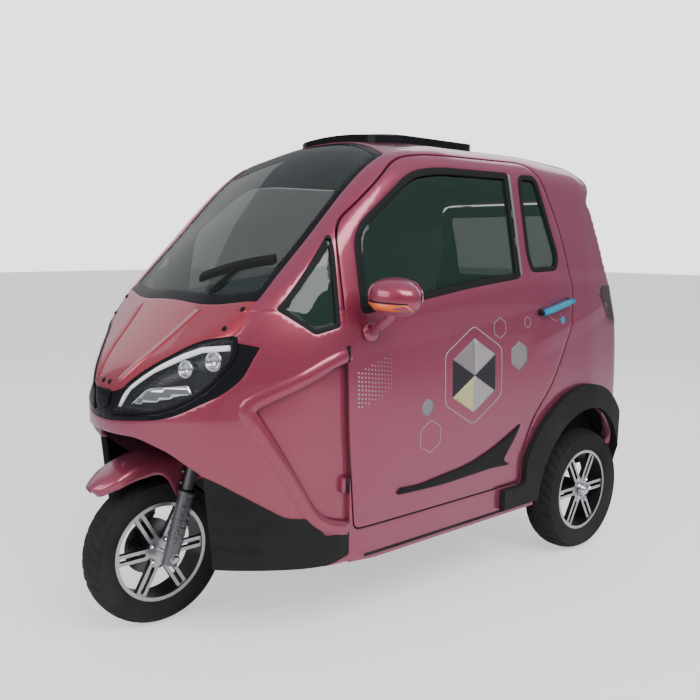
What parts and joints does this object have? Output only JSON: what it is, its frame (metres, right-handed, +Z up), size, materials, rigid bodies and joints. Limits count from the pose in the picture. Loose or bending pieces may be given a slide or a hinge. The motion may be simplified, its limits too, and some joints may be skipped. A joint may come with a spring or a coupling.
{
  "type": "enclosed electric trike",
  "caption": "Enclosed three-wheeled electric vehicle with a steered front wheel, hinged side doors, a rear hatch and seats on a steel frame.",
  "frame": {"origin": "on the ground below the middle of the overall length and width", "axes": "+X points forward, +Y to the driver's left, +Z up"},
  "size_m": [2.22, 1.474, 1.6301],
  "materials": {
    "body_paint": "pearl pink gloss",
    "hood_paint": "rose pearl gloss",
    "window_glass": "dark tint, polished",
    "lamp_lens": "clear, polished",
    "tail_lens": "smoked red, polished",
    "gloss_black": "polished",
    "black_plastic": "fine grain",
    "grey_plastic": "fine grain",
    "frame_paint": "black enamel",
    "fork_paint": "silver grey",
    "bright_steel": "brushed",
    "rim_metal": "machined face, black pockets",
    "red_paint": "gloss",
    "tyre": "worn",
    "grip_rubber": "soft",
    "seat_cover": "stitched vinyl",
    "mirror_glass": "silvered",
    "battery_case": "plain"
  },
  "bodies": {
    "body": {"windscreen": "window_glass", "front_quarter_glass": "window_glass", "headlights": "lamp_lens", "nose_trim": "gloss_black", "hood": "hood_paint", "roof_panel": "body_paint", "sunroof": "gloss_black", "cabin_shell": "body_paint", "front_shell": "body_paint", "side_scoops": "body_paint", "front_claddings": "black_plastic", "sills": "body_paint", "arch_claddings": "black_plastic", "floor_pan": "black_plastic", "rear_floor": "frame_paint", "rear_bumper": "black_plastic", "tail_lamps": "tail_lens", "wiper": "black_plastic", "dashboard": "grey_plastic", "seat_box": "grey_plastic", "battery_block": "battery_case", "driver_cushion": "seat_cover", "driver_backrest": "seat_cover", "bench_box": "grey_plastic", "rear_bench": "seat_cover", "rear_backrest": "seat_cover", "rear_wheel_houses": "black_plastic", "front_wheel_house": "black_plastic", "chassis_frame": "frame_paint", "rear_axle": "frame_paint", "leaf_springs": "frame_paint"},
    "steering": {"fork": "fork_paint", "front_axle": "bright_steel", "front_mudguard": "body_paint", "brake_caliper": "red_paint", "handlebar": "frame_paint", "hand_grips": "grip_rubber"},
    "front_wheel": {"front_tyre": "tyre", "front_rim": "rim_metal", "brake_disc": "bright_steel"},
    "rear_left_wheel": {"rear_left_tyre": "tyre", "rear_left_rim": "rim_metal"},
    "rear_right_wheel": {"rear_right_tyre": "tyre", "rear_right_rim": "rim_metal"},
    "tailgate_body": {"tailgate": "body_paint", "tailgate_glass": "window_glass"},
    "left_door_body": {"left_door": "body_paint", "left_door_glass": "window_glass", "left_door_handle": "gloss_black", "left_mirror_housing": "body_paint", "left_mirror_arm": "body_paint", "left_mirror_glass": "mirror_glass"},
    "right_door_body": {"right_door": "body_paint", "right_door_glass": "window_glass", "right_door_handle": "gloss_black", "right_mirror_housing": "body_paint", "right_mirror_arm": "body_paint", "right_mirror_glass": "mirror_glass"}
  },
  "joints": [
    {"name": "steering", "type": "hinge", "parent": "body", "child": "steering", "pos_m": [0.85087, 0, 0.23415], "axis": [-0.2924, 0, 0.9563], "range_deg": [-35, 35]},
    {"name": "front_wheel_spin", "type": "hinge", "parent": "steering", "child": "front_wheel", "pos_m": [0.87, 0, 0.24], "axis": [0, 1, 0], "continuous": true},
    {"name": "rear_left_wheel_spin", "type": "hinge", "parent": "body", "child": "rear_left_wheel", "pos_m": [-0.757, 0.4915, 0.245], "axis": [0, 1, 0], "continuous": true},
    {"name": "rear_right_wheel_spin", "type": "hinge", "parent": "body", "child": "rear_right_wheel", "pos_m": [-0.757, -0.4915, 0.245], "axis": [0, 1, 0], "continuous": true},
    {"name": "left_door_hinge", "type": "hinge", "parent": "body", "child": "left_door_body", "pos_m": [0.50892, 0.542, 0.7325], "axis": [0, 0, 1], "range_deg": [-65, 0]},
    {"name": "right_door_hinge", "type": "hinge", "parent": "body", "child": "right_door_body", "pos_m": [0.50892, -0.542, 0.7325], "axis": [0, 0, 1], "range_deg": [0, 65]},
    {"name": "tailgate_hinge", "type": "hinge", "parent": "body", "child": "tailgate_body", "pos_m": [-0.88296, 0, 1.39862], "axis": [0, 1, 0], "range_deg": [0, 70]}
  ]
}
